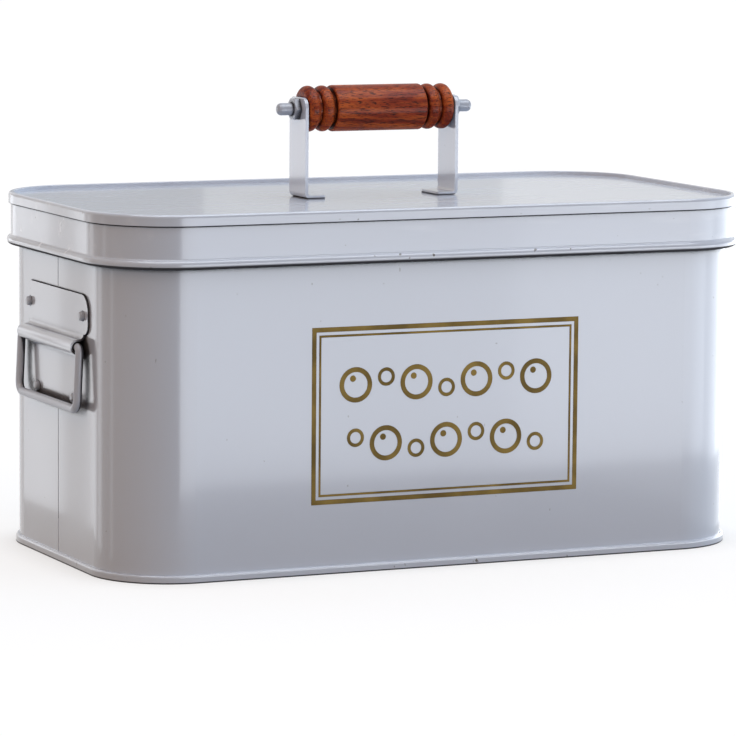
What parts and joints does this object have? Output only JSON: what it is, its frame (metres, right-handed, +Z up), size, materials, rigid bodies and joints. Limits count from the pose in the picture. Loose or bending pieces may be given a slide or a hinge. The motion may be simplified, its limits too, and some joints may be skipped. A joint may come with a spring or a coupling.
{
  "type": "detergent storage box",
  "caption": "Rounded rectangular painted steel box with a slip-over lid, turned wooden lid grip, swinging wire side handles and a framed gold print, for storing washing detergent.",
  "frame": {"origin": "middle of the base on the surface that the box stands on", "axes": "+Z up, +X along the box's length to the right of the printed front, -Y out of the printed front"},
  "size_m": [0.3452, 0.1818, 0.2253],
  "materials": {
    "box_paint": "gloss chalk white powder coat",
    "lid_paint": "gloss chalk white powder coat",
    "handle_paint": "gloss chalk white powder coat",
    "rivet_paint": "chalk white powder coat, thin on the edges",
    "gold_print": "flat gold print",
    "grip_wood": "varnished red-brown hardwood"
  },
  "bodies": {
    "box": {"box_wall": "box_paint", "base_pan": "box_paint", "left_handle_plate": "handle_paint", "right_handle_plate": "handle_paint", "left_handle_rivets": "rivet_paint", "right_handle_rivets": "rivet_paint", "front_print": "gold_print"},
    "left_bail": {"left_bail": "handle_paint"},
    "right_bail": {"right_bail": "handle_paint"},
    "lid": {"lid_top": "lid_paint", "lid_skirt": "lid_paint", "left_strap": "lid_paint", "right_strap": "lid_paint", "grip_rod": "rivet_paint", "grip_nuts": "rivet_paint"},
    "grip": {"wood_grip": "grip_wood"}
  },
  "joints": [
    {"name": "lid_lift", "type": "slide", "parent": "box", "child": "lid", "axis": [0, 0, 1], "range_m": [0, 0.06]},
    {"name": "left_bail_swing", "type": "hinge", "parent": "box", "child": "left_bail", "pos_m": [-0.169, 0, 0.107], "axis": [0, 1, 0], "range_deg": [0, 167]},
    {"name": "right_bail_swing", "type": "hinge", "parent": "box", "child": "right_bail", "pos_m": [0.169, 0, 0.107], "axis": [0, -1, 0], "range_deg": [0, 167]},
    {"name": "grip_spin", "type": "hinge", "parent": "lid", "child": "grip", "pos_m": [0, 0, 0.214], "axis": [1, 0, 0], "continuous": true}
  ]
}
